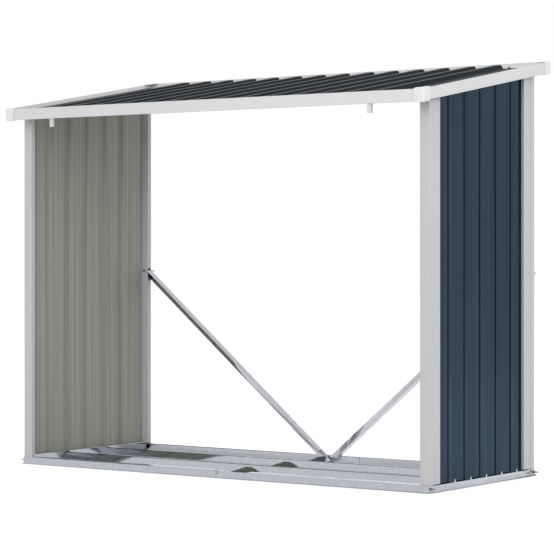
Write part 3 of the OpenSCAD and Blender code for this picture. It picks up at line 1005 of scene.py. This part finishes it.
def stacked(tree, parts):
    """Solids of revolution stacked along Z: each has its sides, two radii and its height."""
    joined = add(tree, "GeometryNodeJoinGeometry")
    base = None
    for sides, lower, upper, height in parts:
        solid = add(tree, "GeometryNodeMeshCone", {
            "Vertices": sides, "Radius Bottom": lower, "Radius Top": upper, "Depth": height})
        if base is not None:
            lift = add(tree, "ShaderNodeCombineXYZ", {"Z": base})
            solid = add(tree, "GeometryNodeTransform", {
                "Geometry": solid.outputs["Mesh"], "Translation": lift.outputs[0]})
        tree.links.new(solid.outputs[0], joined.inputs[0])
        base = height if base is None else add(
            tree, "ShaderNodeMath", {0: base, 1: height}, operation="ADD").outputs[0]
    return joined.outputs[0]


print("a fixing is built as:", stacked.__doc__)

# %% [markdown]
# ### Nuts with washers and thread
#
# On the outside of the frame a bolt shows its end: a washer, a hexagon nut with a small chamfer,
# and the thread past it. The tip is an input of its own, because the braces' bolts stand out much
# further than the others. The thread itself is too fine to show, so the tip is a plain taper.

# %% Nuts with washers and thread
NUT_SIZES = {"Thread": "Float", "Tip": "Float", "Material": "Material", "Seed": "Int"}


def nut_tree():
    """A washer, a hexagon nut with a chamfer, and the bolt's end standing past it."""
    tree, given = geometry_tree("nut on a bolt", NUT_SIZES)
    thread = given.outputs["Thread"]
    washer = length_times(tree, thread, 1.0)
    corner = length_times(tree, thread, 0.92)
    nut = stacked(tree, [
        (20, washer, washer, length_times(tree, thread, 0.25)),
        (6, corner, corner, length_times(tree, thread, 0.7)),
        (6, corner, length_times(tree, thread, 0.8), length_times(tree, thread, 0.12)),
        (12, length_times(tree, thread, 0.5), length_times(tree, thread, 0.44),
         given.outputs["Tip"]),
    ])
    on_points(tree, given, nut, given.outputs["Material"], given.outputs["Seed"])
    return tree


NUT = nut_tree()
print("nut tree:", len(NUT.nodes), "nodes")

# %% [markdown]
# ### Heads, screws and rubber washers
#
# A bolt's other end is a low pan head, domed in three steps. A roof screw has a hexagon head on a
# flange, and a thick rubber washer under it keeps the rain out. All three are stacks whose sizes
# are plain multiples of the thread, so one function makes their trees from a short list.

# %% Bolt heads, roof screws and their washers
def drum_tree(name, parts):
    """A tree for a fixing whose stacked parts are all multiples of its thread."""
    tree, given = geometry_tree(name, {"Thread": "Float", "Material": "Material", "Seed": "Int"})
    sizes = [(sides, *(length_times(tree, given.outputs["Thread"], factor) for factor in factors))
             for sides, *factors in parts]
    on_points(tree, given, stacked(tree, sizes), given.outputs["Material"],
              given.outputs["Seed"])
    return tree


# Sides, then lower radius, upper radius and height as multiples of the thread
PAN_HEAD = drum_tree("pan head", [
    (20, 0.98, 0.98, 0.25), (20, 0.98, 0.88, 0.18), (20, 0.88, 0.5, 0.14)])
SCREW = drum_tree("hexagon roof screw", [
    (20, 1.15, 1.05, 0.2), (6, 0.85, 0.85, 0.7), (6, 0.85, 0.72, 0.1)])
PAD = drum_tree("rubber washer", [(20, 1.5, 1.4, 0.4)])
print("fixing trees:", PAN_HEAD.name, "/", SCREW.name, "/", PAD.name)

# %% [markdown]
# ### Where the bolts are
#
# A bolt goes where two pieces overlap. At each corner it ties the long rail's folded end to the end
# rail, a bolt holds each brace to its post and one more its foot to the rear rail, and one stands
# at the edge of the front rail's joint plate. Places are worked out from the boxes of the pieces
# that they hold, so that each nut sits on a face. The long rails' webs lean back, and the nuts on
# them follow.

# %% Where the bolts are
_, rail_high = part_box("front_base_rail_left")
_, post_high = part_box("rear_right_post")
_, brace_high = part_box("right_brace")
_, sleeve_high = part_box("rear_rail_sleeve")
plate_low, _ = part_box("front_rail_sleeve")

WEB_LEAN = 4 * MM
POST_BOX = 21 * MM
CORNER_BOLT = (post_high.x, post_high.y - 9.5 * MM, 14.5 * MM)
BRACE_BOLT = (post_high.x - 19 * MM, 748 * MM)
FOOT_BOLTS = ((34 * MM, 16 * MM), (-8 * MM, 16 * MM))
PLATE_BOLT = (plate_low.x + 18 * MM, 20 * MM)


def lean_at(z):
    """How far the webs of the long rails have leaned back at a height."""
    return WEB_LEAN * z / rail_high.z


print("corner bolts at", [round(side / MM, 1) for side in CORNER_BOLT], "mm")

# %% [markdown]
# ### Nuts and heads in place
#
# Each bolt gets an end with its nut on one side and a head on the other. Bolts with tips of one
# length go together in one piece, which keeps the list of pieces short, and a seed for each piece
# turns its hexagons differently.

# %% Nuts and heads in place
end_x, corner_y, corner_z = CORNER_BOLT
brace_x, brace_z = BRACE_BOLT
plate_x, plate_z = PLATE_BOLT
plate_y = plate_low.y + lean_at(plate_z)

corner_ends = [((sx * end_x, sy * corner_y, corner_z), (sx, 0, 0))
               for sx in (-1, 1) for sy in (-1, 1)]
corner_heads = [((place[0] - aim[0] * SHEET, *place[1:]), (-aim[0], 0, 0))
                for place, aim in corner_ends]
brace_tops = [((sx * brace_x, post_high.y, brace_z), (0, 1, 0)) for sx in (-1, 1)]
brace_feet = [((x, sleeve_high.y + SHEET - lean_at(z), z), (0, 1, 0)) for x, z in FOOT_BOLTS]
brace_heads = [((x, brace_high.y - SHEET, z), (0, -1, 0)) for x, z in FOOT_BOLTS]
brace_heads += [((sx * brace_x, post_high.y - POST_BOX, brace_z), (0, -1, 0)) for sx in (-1, 1)]
plate_nuts = [((plate_x, plate_y + SHEET, plate_z), (0, 1, 0))]
plate_heads = [((plate_x, plate_y - SHEET, plate_z), (0, -1, 0))]
print("bolts in the frame:", len(corner_ends + brace_tops + brace_feet + plate_nuts))

# %% [markdown]
# ### Nuts and bolts of the frame
#
# A mesh of points becomes a piece in three steps: the tree grows the fixings, edges sharper than
# thirty degrees are marked so that hexagons keep their corners, and the piece is tied to the frame.
# The roof screws further down are made by the same function.

# %% Nuts and bolts of the frame
M6 = 6 * MM
SHARP_FIXING = math.radians(30)


def fixings(name, places, tree, **values):
    """One piece for a whole set of fixings."""
    piece = grown(name, fixing_points(name, places), tree, values)
    piece.data.set_sharp_from_angle(angle=SHARP_FIXING)
    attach(piece, "root")
    print(f"{name}: {len(places)} fixings, {len(piece.data.polygons)} faces")
    return piece


short = fixings("short_bolt_ends", brace_feet + plate_nuts, NUT,
                Thread=M6, Tip=3 * MM, Material=PLATED, Seed=3)
corner = fixings("corner_bolt_ends", corner_ends, NUT,
                 Thread=M6, Tip=14 * MM, Material=PLATED, Seed=2)
long = fixings("brace_bolt_ends", brace_tops, NUT, Thread=M6, Tip=38 * MM, Material=PLATED, Seed=4)
heads = fixings("bolt_heads", corner_heads + brace_heads + plate_heads, PAN_HEAD,
                Thread=M6, Material=PLATED, Seed=5)

# %% [markdown]
# ## Roof screws
#
# Roof sheets are screwed down in the flats between the ribs, in one row along the front ledge and
# one along the rear. The screws stand square to the slope, so a place on the roof is worked out
# from its height along the slope and a lift along the roof's own upright. A rubber washer goes
# down first, and the screw's flange sits on it.

# %% Places on the roof
SCREW_THREAD = 5 * MM
PAD_HEIGHT = 0.4 * SCREW_THREAD
SCREW_INSET = 26 * MM

roof_low, roof_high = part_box("roof_sheet_middle")
across = (0, -math.sin(ROOF_SLOPE), math.cos(ROOF_SLOPE))
front_y = roof_low.y + rib_lean
flat_z = roof_low.z + SKIN / math.cos(ROOF_SLOPE)


def on_roof(x, y, lift):
    """A place at the given lift over a flat of the roof, and the roof's own upright."""
    return (x, y + lift * across[1],
            flat_z + (y - front_y) * math.tan(ROOF_SLOPE) + lift * across[2]), across


print("the roof's own upright:", [round(part, 3) for part in across])

# %% [markdown]
# ### Screws and washers in rows
#
# The flats lie midway between ribs, so they come again at the same pitch, counted out from the
# middle of the roof. Every flat gets a screw in each row, the two outer ones as well.

# %% Roof screws
half_ribs = sum(ROOF_RIBS.values()) // 2
flats = [i * ROOF_PITCH for i in range(-half_ribs, half_ribs + 1)]
screw_rows = (front_y + SCREW_INSET, roof_high.y - SCREW_INSET / 2)
screws = [(x, y) for y in screw_rows for x in flats]
print("roof screws:", len(screws))
washers = fixings("roof_washers", [on_roof(x, y, 0) for x, y in screws], PAD,
                  Thread=SCREW_THREAD, Material=RUBBER, Seed=6)
hexagons = fixings("roof_screws", [on_roof(x, y, PAD_HEIGHT) for x, y in screws], SCREW,
                   Thread=SCREW_THREAD, Material=PLATED, Seed=7)

# %% [markdown]
# ## Sizes and the end
#
# The dressed store has to fill the same box as the frame did, so its size is printed.

# %% Sizes and the end
low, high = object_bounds()
print("size of the dressed store:", [round(side, 4) for side in high - low])
